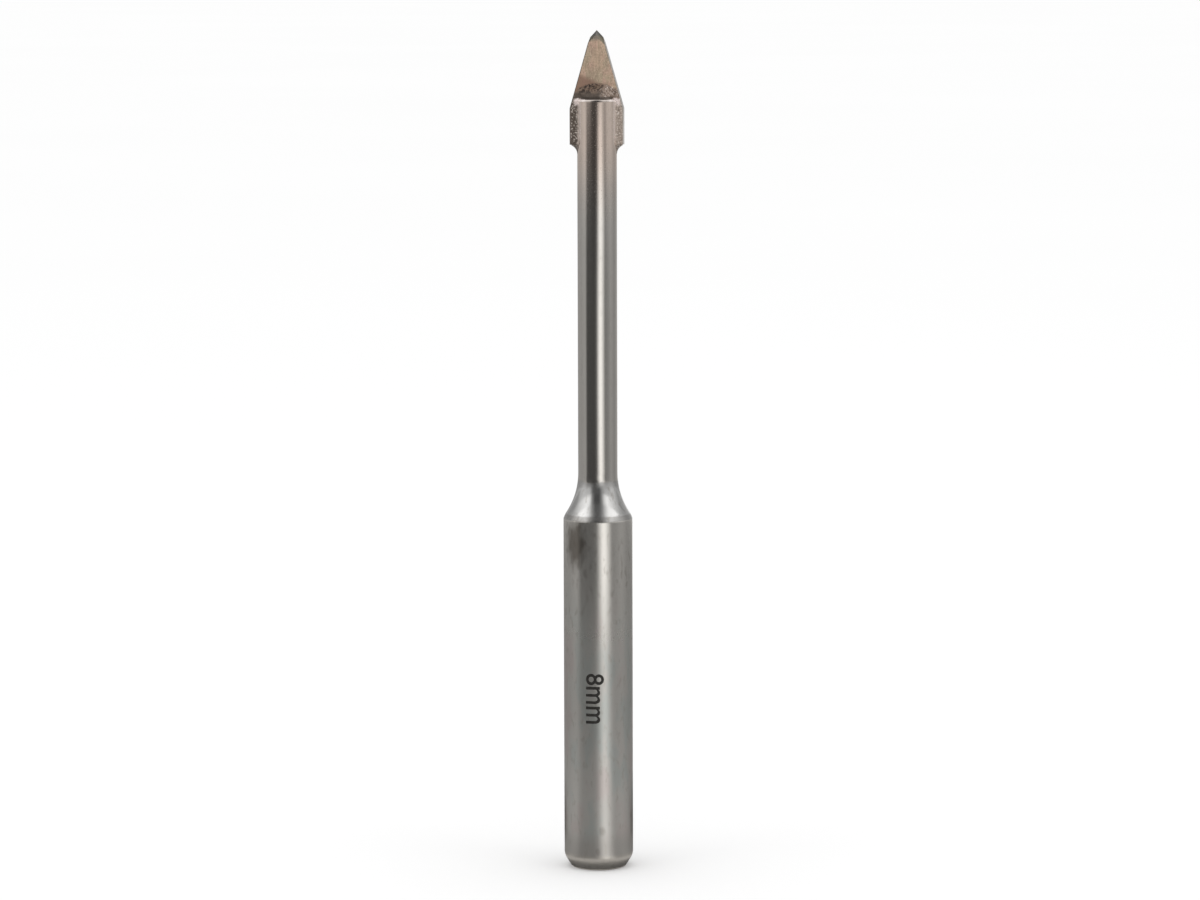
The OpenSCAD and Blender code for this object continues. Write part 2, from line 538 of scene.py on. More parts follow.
def place_on_wing(side, face, chance):
    """Place on the flat of a wing or beside the neck's end, inside the plate's edge."""
    z = chance.uniform(PLATE_FOOT_Z + WING_BEAD_FOOT_GAP, NECK_END_Z)
    edge_x = WING_X - edge_inset(side, face) - max(0, z - WING_TOP_Z) * math.tan(SPEAR_LEAN)
    return (side * chance.uniform(NECK_R, edge_x - WING_BEAD_EDGE_GAP), face * HALF_THICK, z)


def place_on_fillet(side, face, chance):
    """Place on the hollow of a fillet."""
    hollow_at = fillet_hollow()
    turn = math.radians(chance.uniform(*FILLET_BEAD_TURNS))
    x = hollow_at.x + FILLET_R * math.cos(turn)
    y = hollow_at.y + FILLET_R * math.sin(turn)
    return (side * x, face * y, chance.uniform(*FILLET_BEAD_HEIGHTS))


def place_on_pool(face, reach, chance):
    """Place on the pool, within a reach to the left, out and up."""
    left, out, up = [chance.uniform(*span) for span in reach]
    return (face * left, face * out, NECK_END_Z + up)


def braze_beads(chance):
    """Grains on the wings and fillets, and lumps of slag on the pool, on both faces alike."""
    bpy.ops.mesh.primitive_ico_sphere_add(subdivisions=BEAD_STEPS, radius=1, location=(0, 0, 0))
    bead = bpy.context.object
    beads = []
    for face in (-1, 1):
        for side in (-1, 1):
            on_wing = [place_on_wing(side, face, chance) for _ in range(WING_BEADS)]
            on_fillet = [place_on_fillet(side, face, chance) for _ in range(FILLET_BEADS)]
            beads += scatter(bead, on_wing, WING_BEAD_SIZES, chance)
            beads += scatter(bead, on_fillet, FILLET_BEAD_SIZES, chance)
        slag = [place_on_pool(face, SLAG_REACH, chance) for _ in range(SLAG_LUMPS)]
        crumbs = [place_on_pool(face, CRUMB_REACH, chance) for _ in range(CRUMBS)]
        beads += scatter(bead, slag, SLAG_SIZES, chance)
        beads += scatter(bead, crumbs, CRUMB_SIZES, chance)
    bpy.data.objects.remove(bead)
    return beads


def run_braze(body, plate):
    """Melts all that the braze fills into one form and takes its neighbours out of it."""
    forms = [braze_film(), braze_pool()]
    for side in (-1, 1):
        forms.append(braze_heel(side))
        forms += [braze_fillet(side, face) for face in (-1, 1)]
        forms += [braze_skin(side, face) for face in (-1, 1)]
    forms += [braze_apron(face) for face in (-1, 1)]
    forms += braze_beads(random.Random(BEAD_SEED))
    braze = join_all(forms, "run_braze")
    apply_modifier(braze, "REMESH", mode="VOXEL", voxel_size=BRAZE_VOXEL)
    apply_modifier(braze, "SMOOTH", factor=MELT_FACTOR, iterations=MELT_ROUNDS)
    take_out(braze, body)
    take_out(braze, plate)
    merge_slivers(braze)
    keep_main_shell(braze, (0, 0, PLATE_FOOT_Z - BRAZE_FILM))
    return braze


# Size mark

def mark_letter(letter, down, width, height):
    """One plain letter in front of the shank, fitted to its width and height, that reads down."""
    bpy.ops.object.text_add(location=(0, 0, 0))
    piece = bpy.context.object
    piece.data.body = letter
    piece.data.size = height
    piece.data.offset = MARK_WEIGHT * height
    bpy.ops.object.convert(target="MESH")
    corners = [Vector(corner) for corner in piece.bound_box]
    low, high = corners[0], corners[6]
    reading_down = Matrix(((0, 1, 0), (0, 0, -1), (-1, 0, 0))).to_4x4()
    fitted = Matrix.Diagonal((width / (high.x - low.x), height / (high.y - low.y), 1, 1))
    at = (MARK_FOOT_X, -2 * SHANK_R, MARK_TOP_Z - down)
    piece.matrix_world = Matrix.Translation(at) @ reading_down @ fitted @ Matrix.Translation(-low)
    bpy.ops.object.transform_apply()
    return piece


def etch_size_mark(body):
    """Sets the size in plain letters down the shank and wraps it on the steel."""
    mark = join_all([mark_letter(*letter) for letter in MARK_LETTERS], "etched_size_mark")
    edit(mark)
    for step in range(1, round(SHANK_R / MARK_STRIP)):
        bpy.ops.mesh.select_all(action="SELECT")
        across_x = MARK_FOOT_X + step * MARK_STRIP
        bpy.ops.mesh.bisect(plane_co=(across_x, 0, 0), plane_no=(1, 0, 0))
    stop_editing()
    merge_slivers(mark)
    apply_modifier(
        mark, "SHRINKWRAP", target=body, wrap_method="PROJECT", use_project_y=True,
        use_positive_direction=True, use_negative_direction=False, offset=MARK_DEPTH / 2,
    )
    apply_modifier(mark, "SOLIDIFY", thickness=MARK_DEPTH, offset=-1)
    return mark


# Tools for finishes

# Each grain's edge and core, by the distance from its middle, and how far grains are pushed out of shape
GRAIN_RIM = (0.7, 0.15)
GRAIN_PUSH = (2, 2, 2)
# Edge and core of a stain or of a patch of painted shade, by the share of its size
STAIN_AND_SHADE_RIM = (1.5, 0.8)


def new_finish(name):
    """Material with its node tree and its Principled shader."""
    material = bpy.data.materials.new(name)
    material.use_nodes = True
    tree = material.node_tree
    return material, tree, tree.nodes["Principled BSDF"]


def add_node(tree, kind, inputs, **settings):
    """Adds a node, with its settings, and gives each input a value or a link."""
    made = tree.nodes.new(kind)
    for key, value in settings.items():
        setattr(made, key, value)
    for key, value in inputs.items():
        if isinstance(value, bpy.types.NodeSocket):
            tree.links.new(value, made.inputs[key])
        else:
            made.inputs[key].default_value = value
    return made


def reckon(tree, operation, first, second=0.0):
    return add_node(tree, "ShaderNodeMath", {0: first, 1: second}, operation=operation).outputs[0]


def plus(tree, first, second):
    return reckon(tree, "ADD", first, second)


def times(tree, first, second):
    return reckon(tree, "MULTIPLY", first, second)


def reckon_place(tree, operation, first, second):
    made = add_node(tree, "ShaderNodeVectorMath", {0: first, 1: second}, operation=operation)
    return made.outputs[0]


def place_in_mm(tree):
    """Place on the piece, in millimetres."""
    coordinates = tree.nodes.new("ShaderNodeTexCoord")
    return reckon_place(tree, "DIVIDE", coordinates.outputs["Object"], (MM, MM, MM))


def parts_of(tree, place):
    return add_node(tree, "ShaderNodeSeparateXYZ", {0: place}).outputs


def fade(tree, value, start, end, low=0.0, high=1.0):
    """Smooth step from low to high as the value goes from start to end."""
    span = {"Value": value, "From Min": start, "From Max": end, "To Min": low, "To Max": high}
    return add_node(tree, "ShaderNodeMapRange", span, interpolation_type="SMOOTHSTEP").outputs[0]


def noise(tree, place, per_mm, detail=3.0):
    """Cloudy pattern from 0 to 1, with its patches per millimetre along each axis."""
    stretched = reckon_place(tree, "MULTIPLY", place, per_mm)
    made = add_node(tree, "ShaderNodeTexNoise", {"Vector": stretched, "Scale": 1.0, "Detail": detail})
    return made.outputs["Fac"]


def grains(tree, place, per_mm):
    """Uneven grains: a mask that is 1 at the middle of each, and a chance of its own for each."""
    scaled = reckon_place(tree, "MULTIPLY", place, (per_mm, per_mm, per_mm))
    drift = add_node(tree, "ShaderNodeTexNoise", {"Vector": scaled, "Scale": 0.8, "Detail": 3.0})
    push = reckon_place(tree, "MULTIPLY", drift.outputs["Color"], GRAIN_PUSH)
    pushed = reckon_place(tree, "ADD", scaled, push)
    made = add_node(tree, "ShaderNodeTexVoronoi", {"Vector": pushed, "Scale": 1.0})
    mask = fade(tree, made.outputs["Distance"], *GRAIN_RIM)
    return mask, parts_of(tree, made.outputs["Color"])["X"]


def blend_colour(tree, factor, first, second):
    made = add_node(tree, "ShaderNodeMix", {0: factor, 6: first, 7: second}, data_type="RGBA")
    return made.outputs[2]


def blend_level(tree, factor, first, second):
    made = add_node(tree, "ShaderNodeMix", {0: factor, 2: first, 3: second}, data_type="FLOAT")
    return made.outputs[0]


def lay_colours(tree, base, layers):
    """Lays colours over a base one after another, each where its mask is 1."""
    for mask, tone in layers:
        base = blend_colour(tree, mask, base, tone)
    return base


def lay_levels(tree, base, layers):
    """Lays levels over a base one after another, each where its mask is 1."""
    for mask, level in layers:
        base = blend_level(tree, mask, base, level)
    return base


def colour(red, green, blue):
    """Linear colour of an sRGB value from 0 to 255."""
    def linear(level):
        level = level / 255
        return level / 12.92 if level <= 0.04045 else ((level + 0.055) / 1.055)**2.4
    return (linear(red), linear(green), linear(blue), 1)


def spot(tree, place, at, size, ragged):
    """Mask of one stain, or of one patch of painted shade: 1 at its middle, 0 outside, with an uneven
    edge.
    """
    away = reckon_place(tree, "SUBTRACT", place, at)
    away = reckon_place(tree, "DIVIDE", away, size)
    reach = add_node(tree, "ShaderNodeVectorMath", {0: away}, operation="LENGTH").outputs["Value"]
    return fade(tree, plus(tree, reach, ragged), *STAIN_AND_SHADE_RIM)


def on_shank(x, z):
    """Point on the front of the shank."""
    return (x, -math.sqrt(SHANK_R**2 - x**2), z)


def to_right(tree, place):
    """How far a place lies to the right of the middle, as seen on its own face of the plate."""
    parts = parts_of(tree, place)
    face = reckon(tree, "SIGN", times(tree, parts["Y"], -1.0))
    return times(tree, parts["X"], face)


def roughen(tree, shader, height, depth):
    """Bump of a pattern, its depth in millimetres."""
    bump = add_node(tree, "ShaderNodeBump", {"Height": height, "Distance": depth * MM, "Strength": 1.0})
    tree.links.new(bump.outputs[0], shader.inputs["Normal"])


def give(tree, shader, base, rough, metallic):
    """Links colour, roughness and metallic level to the shader."""
    tree.links.new(base, shader.inputs["Base Color"])
    tree.links.new(rough, shader.inputs["Roughness"])
    tree.links.new(metallic, shader.inputs["Metallic"])


# Finish of the steel

SATIN_COOL = colour(196, 198, 193)
SATIN_GREY = colour(204, 201, 195)
SATIN_WARM = colour(203, 195, 190)
# Painted shade: the steel turns darker towards the foot
PAINTED_FOOT_SHADE = colour(190, 186, 180)
END_BLEND_STEEL = colour(206, 200, 191)
END_CHAMFER_STEEL = colour(188, 183, 176)
# Steel of the upper shank, made paler as a painted highlight near the shoulder; its smoother finish is in
# its roughness
UPPER_SHANK_STEEL_AND_SHEEN = colour(232, 228, 221)
SHOULDER_STEEL = colour(208, 206, 203)
FLARE_STEEL = colour(236, 235, 233)
NECK_PALE = colour(240, 236, 230)
NECK_DEEP = colour(228, 223, 215)
BROWNED_STEEL = colour(237, 219, 206)
# Painted light: pale, less metallic steel on the neck's sides beside the fillets lifts the shade of the
# groove there
PAINTED_LIGHT_BESIDE_FILLETS = colour(214, 201, 193)
# Painted light on the neck's rim: painted shade in its middle, and a pale painted highlight on its sides
PAINTED_RIM_SHADE = colour(214, 204, 197)
PAINTED_RIM_GLINT = colour(250, 239, 234)
DULLED_STEEL = colour(178, 172, 163)
SEAM_STEEL = colour(170, 165, 158)
STAIN_AND_SHADE_STEEL = colour(116, 106, 95)

# Heights, and reaches out from the middle, between which each zone of the steel fades in
END_CHAMFER_ZONE = (1.3, 0.6)
END_BLEND_ZONE = (2.6, 1.8)
FOOT_ZONE = (6.5, 3.5)
WORN_ZONE = (26, 8)
SATIN_ZONE = (47, 28)
SHOULDER_ZONE = (SHANK_LENGTH - 0.05, SHANK_LENGTH + 0.1)
FLARE_ZONE = (FLARE_FOOT_Z - 0.1, FLARE_FOOT_Z + 0.05)
SEAM_FOOT = (FLARE_TOP_Z - 1.8, FLARE_TOP_Z - 1.2)
SEAM_TOP = (FLARE_TOP_Z - 0.5, FLARE_TOP_Z - 0.7)
NECK_ZONE = (FLARE_TOP_Z - 0.9, FLARE_TOP_Z - 0.5)
BROWNED_ZONE = (93, 107)
BESIDE_ZONE = (PLATE_FOOT_Z - 0.5, PLATE_FOOT_Z + 2.0)
BESIDE_REACH = (2.2, 2.5)
RIM_ZONE = (NECK_END_Z - NECK_EDGE_R - 0.05, NECK_END_Z - NECK_EDGE_R + 0.05)
RIM_GLINT_REACH = (1.3, 2.0)

# Patches of each pattern per millimetre along each axis, and the levels between which a tone fades in
STEEL_CLOUD = (0.35, 0.35, 0.12)
STEEL_MOTTLE = (1.6, 1.6, 0.7)
STEEL_GRIT = (7, 7, 6)
WHEEL_MARKS = (0.5, 0.5, 14)
GREY_CLOUD = (0.38, 0.5)
WARM_CLOUD = (0.52, 0.64)
DULLED_MOTTLE = (0.54, 0.7)
SPECK_GRIT = (0.64, 0.7)

# Share of dulling on shank and neck, of the seam, and of specks on the plain and the browned neck
DULLED_SHARES = (0.4, 0.1)
SEAM_SHARE = 0.25
SPECK_SHARES = (0.12, 0.3)

# Roughness and metallic level of each zone
UPPER_SHANK_ROUGH = 0.17
SATIN_ROUGH = 0.28
SHOULDER_ROUGH = 0.24
FLARE_ROUGH = 0.14
NECK_ROUGH = 0.12
MOTTLE_ROUGH = 0.05
SEAM_ROUGH = 0.1
UPPER_SHANK_METALLIC = 0.94
WORN_METALLIC = (0.84, 0.76)
BESIDE_METALLIC = 0.45
RIM_GLINT_METALLIC = 0.35
WHEEL_MARK_DEPTH = 0.0006

# Stains on the front of the shank, and painted shade on its two edges near the foot: place across and up,
# size along each axis, and darkness
STAINS_AND_PAINTED_SHADE = (
    ((-3.3, 47.8), (2.5, 2.7, 4.6), 0.75),
    # These two are painted shade: darker edges of the shank near the foot
    ((-4.97, 6.8), (1.0, 2.8, 4.0), 0.35),
    ((4.97, 6.8), (1.0, 2.8, 4.0), 0.35),
    ((0.5, 6.0), (0.6, 0.6, 1.0), 0.3),
    ((-0.1, 3.0), (0.5, 0.5, 0.7), 0.25),
)


def ground_steel_finish():
    """Satin shank, brighter flare and neck, browned towards the braze, with stains. Painted shade lies
    towards the foot, on the shank's edges near it and in the middle of the neck's rim; painted highlights
    on the upper shank, the rim's sides and beside the fillets.
    """
    material, tree, shader = new_finish("ground_steel")
    place = place_in_mm(tree)
    z = parts_of(tree, place)["Z"]
    outwards = reckon(tree, "ABSOLUTE", parts_of(tree, place)["X"])
    cloud = noise(tree, place, STEEL_CLOUD)
    mottle = noise(tree, place, STEEL_MOTTLE, detail=5.0)
    grit = noise(tree, place, STEEL_GRIT, detail=2.0)
    wheel_marks = noise(tree, place, WHEEL_MARKS, detail=2.0)
    ragged = plus(tree, z, mottle)
    # Satin finish below; above it the smoother upper shank with its painted highlight
    satin_below_sheen = fade(tree, z, *SATIN_ZONE)
    shoulder = fade(tree, z, *SHOULDER_ZONE)
    flare = fade(tree, z, *FLARE_ZONE)
    neck = fade(tree, ragged, *NECK_ZONE)
    seam = times(tree, fade(tree, ragged, *SEAM_FOOT), fade(tree, ragged, *SEAM_TOP))
    browned = fade(tree, ragged, *BROWNED_ZONE)
    rim = fade(tree, z, *RIM_ZONE)
    # Painted highlight on the sides of the neck's rim
    rim_glint = times(tree, rim, fade(tree, outwards, *RIM_GLINT_REACH))
    # Painted light on the neck's sides beside the fillets
    beside = times(tree, fade(tree, ragged, *BESIDE_ZONE), fade(tree, outwards, *BESIDE_REACH))
    dulled = blend_level(tree, neck, *DULLED_SHARES)
    dulled = times(tree, fade(tree, mottle, *DULLED_MOTTLE), dulled)

    tinted = lay_colours(tree, SATIN_COOL, (
        (fade(tree, cloud, *GREY_CLOUD), SATIN_GREY),
        (fade(tree, cloud, *WARM_CLOUD), SATIN_WARM),
        # Painted shade towards the foot
        (fade(tree, z, *FOOT_ZONE), PAINTED_FOOT_SHADE),
        (fade(tree, z, *END_BLEND_ZONE), END_BLEND_STEEL),
        (fade(tree, z, *END_CHAMFER_ZONE), END_CHAMFER_STEEL),
    ))
    # The upper shank's paler colour is a painted highlight; the satin colours lie below it
    base = lay_colours(tree, UPPER_SHANK_STEEL_AND_SHEEN, (
        (satin_below_sheen, tinted),
        (shoulder, SHOULDER_STEEL),
        (flare, FLARE_STEEL),
        (neck, blend_colour(tree, cloud, NECK_PALE, NECK_DEEP)),
        (browned, BROWNED_STEEL),
        (beside, PAINTED_LIGHT_BESIDE_FILLETS),
        # Painted shade along the neck's rim, then a painted highlight on its sides
        (rim, PAINTED_RIM_SHADE),
        (rim_glint, PAINTED_RIM_GLINT),
        (dulled, DULLED_STEEL),
        (times(tree, seam, SEAM_SHARE), SEAM_STEEL),
    ))
    # Stains, and the painted shade on the shank's edges near the foot
    for at, size, darkness in STAINS_AND_PAINTED_SHADE:
        stain = times(tree, spot(tree, place, on_shank(*at), size, mottle), darkness)
        base = blend_colour(tree, stain, base, STAIN_AND_SHADE_STEEL)

    rough = lay_levels(tree, UPPER_SHANK_ROUGH, (
        (satin_below_sheen, SATIN_ROUGH),
        (shoulder, SHOULDER_ROUGH),
        (flare, FLARE_ROUGH),
        (neck, NECK_ROUGH),
    ))
    rough = plus(tree, rough, times(tree, mottle, MOTTLE_ROUGH))
    rough = plus(tree, rough, times(tree, seam, SEAM_ROUGH))
    specks = times(tree, fade(tree, grit, *SPECK_GRIT), neck)
    specks = times(tree, specks, blend_level(tree, browned, *SPECK_SHARES))
    metallic = lay_levels(tree, UPPER_SHANK_METALLIC, (
        (shoulder, 1.0),
        (satin_below_sheen, fade(tree, z, *WORN_ZONE, *WORN_METALLIC)),
        # Lower metallic level for the painted light beside the fillets
        (beside, BESIDE_METALLIC),
        # Lower metallic level for the painted highlight on the rim's sides
        (rim_glint, RIM_GLINT_METALLIC),
    ))
    give(tree, shader, base, plus(tree, rough, specks), metallic)
    roughen(tree, shader, wheel_marks, WHEEL_MARK_DEPTH)
    return material


# Finish of the carbide

CARBIDE_WARM = colour(194, 168, 144)
CARBIDE_OLIVE = colour(180, 162, 138)
CARBIDE_PINK = colour(192, 158, 141)
CARBIDE_STREAK = colour(150, 131, 112)
CARBIDE_DARK_GRAIN = colour(126, 110, 94)
CARBIDE_PALE_GRAIN = colour(214, 190, 166)
SCORCHED_CARBIDE = colour(140, 110, 93)
WING_DARK_SIDE = colour(112, 101, 93)
WING_PALE_SIDE = colour(172, 160, 150)
CAPPED_FACE = colour(126, 118, 110)
GROUND_FACET = colour(214, 205, 195)
# Painted shade: darker tone on the narrow lands along the cutting edges
LAND_PAINTED_SHADE = colour(104, 99, 91)
# Painted shade on the up-facing facets of the point, darkest at the point
CAP_FOOT_SHADE = colour(142, 135, 118)
CAP_POINT_SHADE = colour(130, 127, 123)
WHEEL_LINE = colour(120, 114, 106)

# Patches of each pattern per millimetre along each axis, and the levels between which a tone fades in
CARBIDE_CLOUD = (0.6, 0.6, 0.35)
CARBIDE_TINT = (0.9, 0.9, 0.6)
TINT_SHIFT = (7, 3, 5)
CARBIDE_STREAKS = (3.0, 3.0, 0.5)
CARBIDE_GRAIN = (6, 6, 4)
WHEEL_LINES = (14, 14, 0.7)
OLIVE_CLOUD = (0.40, 0.60)
PINK_TINT = (0.46, 0.66)
DARK_STREAK = (0.48, 0.64)
DARK_GRAIN = (0.52, 0.68)
PALE_GRAIN = (0.46, 0.34)
DEEP_LINE = (0.4, 0.75)
PALE_WING_SIDE = (-0.5, 0.5)

# Heights between which each zone of the plate fades in
SCORCH_SLOPE = 0.5
SCORCH_ZONE = (NECK_END_Z + 3.3, NECK_END_Z + 2.4)
WING_ZONE = (NECK_END_Z + 0.9, NECK_END_Z - 0.2)
CAPPED_ZONE = (POINT_Z - 1.7, POINT_Z - 1.05)
CAP_ZONE = (POINT_Z - 1.1, POINT_Z - 0.6)

# How squarely a facet faces across the plate, or up, where each kind starts and is whole
FLAT_FACING = (0.93, 0.98)
LAND_FACING = (0.5, 0.65)
POINT_FACING = (0.4, 0.5)

FACET_ROUGH = 0.28
FACE_ROUGH = 0.5
FACET_METALLIC = 1.0
FACE_METALLIC = 0.35
SINTER_DEPTH = 0.004


def carbide_finish():
    """Sintered faces browned by the brazing heat, and ground facets, with painted shade on the edge lands
    and on the point's facets.
    """
    material, tree, shader = new_finish("browned_carbide")
    place = place_in_mm(tree)
    cloud = noise(tree, place, CARBIDE_CLOUD)
    tint = noise(tree, reckon_place(tree, "ADD", place, TINT_SHIFT), CARBIDE_TINT, detail=5.0)
    streak = noise(tree, place, CARBIDE_STREAKS)
    grain = noise(tree, place, CARBIDE_GRAIN, detail=4.0)
    wheel_lines = noise(tree, place, WHEEL_LINES, detail=2.0)
    z = parts_of(tree, place)["Z"]
    right = to_right(tree, place)
    scorch_height = plus(tree, plus(tree, times(tree, right, SCORCH_SLOPE), z), tint)
    wing_tone = blend_colour(tree, fade(tree, right, *PALE_WING_SIDE), WING_DARK_SIDE, WING_PALE_SIDE)
    face = lay_colours(tree, CARBIDE_WARM, (
        (fade(tree, cloud, *OLIVE_CLOUD), CARBIDE_OLIVE),
        (fade(tree, tint, *PINK_TINT, high=0.7), CARBIDE_PINK),
        (fade(tree, streak, *DARK_STREAK, high=0.5), CARBIDE_STREAK),
        (fade(tree, grain, *DARK_GRAIN, high=0.5), CARBIDE_DARK_GRAIN),
        (fade(tree, grain, *PALE_GRAIN, high=0.5), CARBIDE_PALE_GRAIN),
        (fade(tree, scorch_height, *SCORCH_ZONE, high=0.85), SCORCHED_CARBIDE),
        (fade(tree, z, *WING_ZONE), wing_tone),
        (fade(tree, z, *CAPPED_ZONE, high=0.85), CAPPED_FACE),
    ))

    normal = parts_of(tree, tree.nodes.new("ShaderNodeNewGeometry").outputs["True Normal"])
    across = reckon(tree, "ABSOLUTE", normal["Y"])
    flat = fade(tree, across, *FLAT_FACING)
    # Painted shade on the point's facets, darker towards the point
    cap_shade = blend_colour(tree, fade(tree, z, *CAP_ZONE), CAP_FOOT_SHADE, CAP_POINT_SHADE)
    facet = lay_colours(tree, GROUND_FACET, (
        # Painted shade on the lands, chosen by the way they face
        (fade(tree, across, *LAND_FACING), LAND_PAINTED_SHADE),
        (fade(tree, normal["Z"], *POINT_FACING), cap_shade),
        (fade(tree, wheel_lines, *DEEP_LINE, high=0.3), WHEEL_LINE),
    ))
    base = blend_colour(tree, flat, facet, face)
    rough = blend_level(tree, flat, FACET_ROUGH, FACE_ROUGH)
    give(tree, shader, base, rough, blend_level(tree, flat, FACET_METALLIC, FACE_METALLIC))
    roughen(tree, shader, grain, SINTER_DEPTH)
    return material


# Finish of the braze

DARK_BRAZE = colour(95, 84, 75)
PALE_BRAZE = colour(172, 157, 145)
POOL_BRAZE = colour(146, 128, 115)
FILLET_BRAZE = colour(186, 172, 162)
LIGHT_GRAIN = colour(240, 228, 218)
DEEP_GRAIN = colour(108, 96, 87)
POOL_LIGHT_GRAIN = colour(240, 227, 217)
POOL_DEEP_GRAIN = colour(92, 79, 70)
BLACK_SLAG = colour(62, 51, 44)
BROWN_SLAG = colour(134, 114, 99)
CREST_SLAG = colour(152, 130, 113)
# Painted shade in the crease between the pool and the neck's rim
PAINTED_CREASE_SHADE = colour(66, 57, 50)
# Painted highlight on the fillets' tops beside the neck's end
PAINTED_LEDGE_GLINT = colour(238, 224, 219)
HEEL_BRAZE = colour(190, 180, 171)

# Heights, and reaches out from the middle, between which each zone of the braze fades in
WING_BRAZE_ZONE = (NECK_END_Z + 0.1, NECK_END_Z - 0.5)
FILLET_REACH = (3.45, 3.2)
SLAG_ZONE = (NECK_END_Z + 1.0, NECK_END_Z + 1.9)
CREST_ZONE = (NECK_END_Z + 2.35, NECK_END_Z + 2.8)
CREASE_FOOT = (NECK_END_Z - 0.1, NECK_END_Z)
CREASE_TOP = (NECK_END_Z + 0.5, NECK_END_Z + 0.25)
CREASE_REACH = (2.4, 2.1)
LEDGE_FOOT = (NECK_END_Z - 0.6, NECK_END_Z - 0.1)
LEDGE_TOP = (NECK_END_Z + 0.7, NECK_END_Z + 0.4)
LEDGE_INNER_REACH = (2.2, 2.5)
LEDGE_OUTER_REACH = (3.5, 3.1)
HEEL_ZONE = (PLATE_FOOT_Z + 0.05, PLATE_FOOT_Z - 0.15)

# Patches of each pattern per millimetre along each axis, and the levels between which a tone fades in
BRAZE_LUMPS = (1.3, 1.3, 1.3)
BRAZE_MOTTLE = (2.4, 2.4, 2.4)
LIGHT_LUCK = (0.4, 0.9)
DEEP_LUCK = (0.35, 0.05)
BROWN_MOTTLE = (0.42, 0.6)
BARE_GRAIN = (0.9, 0.1)
LEDGE_SHARES = (0.45, 1.0)

# Where a face turns from dark to pale, and where its slag ends, to the right of its middle
PALE_SIDE = (0.9, 2.4)
SLAG_SIDE = (2.0, 1.5)

BRAZE_ROUGH = 0.45
SHINY_ROUGH = 0.3
BRAZE_METALLIC = 0.4
LEDGE_METALLIC = 0.25
GRAINS_PER_MM = 5.5
GRAIN_DEPTH = 0.02


def braze_finish():
    """Dark slag and light grains: each face is dark on its left and pale on its right. Painted shade lies
    just above the neck's rim, and painted highlights on the fillet tops beside it.
    """
    material, tree, shader = new_finish("dark_braze")
    place = place_in_mm(tree)
    z = parts_of(tree, place)["Z"]
    outwards = reckon(tree, "ABSOLUTE", parts_of(tree, place)["X"])
    lump = noise(tree, place, BRAZE_LUMPS, detail=4.0)
    mottle = noise(tree, place, BRAZE_MOTTLE, detail=4.0)
    grain, luck = grains(tree, place, GRAINS_PER_MM)
    light = times(tree, grain, fade(tree, luck, *LIGHT_LUCK))
    deep = times(tree, grain, fade(tree, luck, *DEEP_LUCK))
    wander = plus(tree, to_right(tree, place), times(tree, lump, 2.0))
    ragged = plus(tree, z, times(tree, mottle, 0.8))
    on_wing = fade(tree, z, *WING_BRAZE_ZONE)
    on_fillet = times(tree, fade(tree, plus(tree, outwards, mottle), *FILLET_REACH), on_wing)
    slag = times(tree, fade(tree, plus(tree, z, lump), *SLAG_ZONE), fade(tree, wander, *SLAG_SIDE))
    crest = fade(tree, plus(tree, z, mottle), *CREST_ZONE, high=0.6)
    # Painted shade in the crease just above the neck's rim
    crease_shade = times(tree, fade(tree, z, *CREASE_TOP), fade(tree, outwards, *CREASE_REACH))
    crease_shade = times(tree, crease_shade, fade(tree, z, *CREASE_FOOT, high=0.75))
    # Painted highlight on the fillets' tops, broken up by the grains
    ledge_glint = times(tree, fade(tree, ragged, *LEDGE_FOOT), fade(tree, ragged, *LEDGE_TOP))
    ledge_glint = times(tree, ledge_glint, fade(tree, grain, *BARE_GRAIN, *LEDGE_SHARES))
    ledge_glint = times(tree, ledge_glint, fade(tree, outwards, *LEDGE_INNER_REACH))
    ledge_glint = times(tree, ledge_glint, fade(tree, outwards, *LEDGE_OUTER_REACH))
    heel = fade(tree, z, *HEEL_ZONE)

    dark_side = lay_colours(tree, DARK_BRAZE, (
        (times(tree, light, on_wing), LIGHT_GRAIN),
        (on_fillet, FILLET_BRAZE),
    ))
    pale_wing = lay_colours(tree, PALE_BRAZE, ((light, LIGHT_GRAIN), (deep, DEEP_GRAIN)))
    pale_pool = lay_colours(tree, POOL_BRAZE, ((light, POOL_LIGHT_GRAIN), (deep, POOL_DEEP_GRAIN)))
    base = lay_colours(tree, dark_side, (
        (fade(tree, wander, *PALE_SIDE), blend_colour(tree, on_wing, pale_pool, pale_wing)),
        (slag, blend_colour(tree, fade(tree, mottle, *BROWN_MOTTLE), BLACK_SLAG, BROWN_SLAG)),
        (crest, CREST_SLAG),
        (crease_shade, PAINTED_CREASE_SHADE),
        (ledge_glint, PAINTED_LEDGE_GLINT),
        (heel, HEEL_BRAZE),
    ))
    rough = blend_level(tree, reckon(tree, "MAXIMUM", ledge_glint, heel), BRAZE_ROUGH, SHINY_ROUGH)
    metallic = lay_levels(tree, BRAZE_METALLIC, ((ledge_glint, LEDGE_METALLIC), (heel, 1.0)))
    give(tree, shader, base, rough, metallic)
    roughen(tree, shader, grain, GRAIN_DEPTH)
    return material


# Finish of the size mark

ETCH_DARK = colour(26, 23, 19)
ETCH_BROWN = colour(44, 40, 34)
ETCH_MOTTLE = (5, 5, 5)
ETCH_LEVELS = (0.2, 0.8)
ETCH_ROUGH = (0.5, 0.7)


def etched_finish():
    """Dark, dull bite of an etched mark."""
    material, tree, shader = new_finish("etched_mark")
    mottle = noise(tree, place_in_mm(tree), ETCH_MOTTLE)
    base = blend_colour(tree, mottle, ETCH_DARK, ETCH_BROWN)
    tree.links.new(base, shader.inputs["Base Color"])
    tree.links.new(fade(tree, mottle, *ETCH_LEVELS, *ETCH_ROUGH), shader.inputs["Roughness"])
    return material


# Pieces

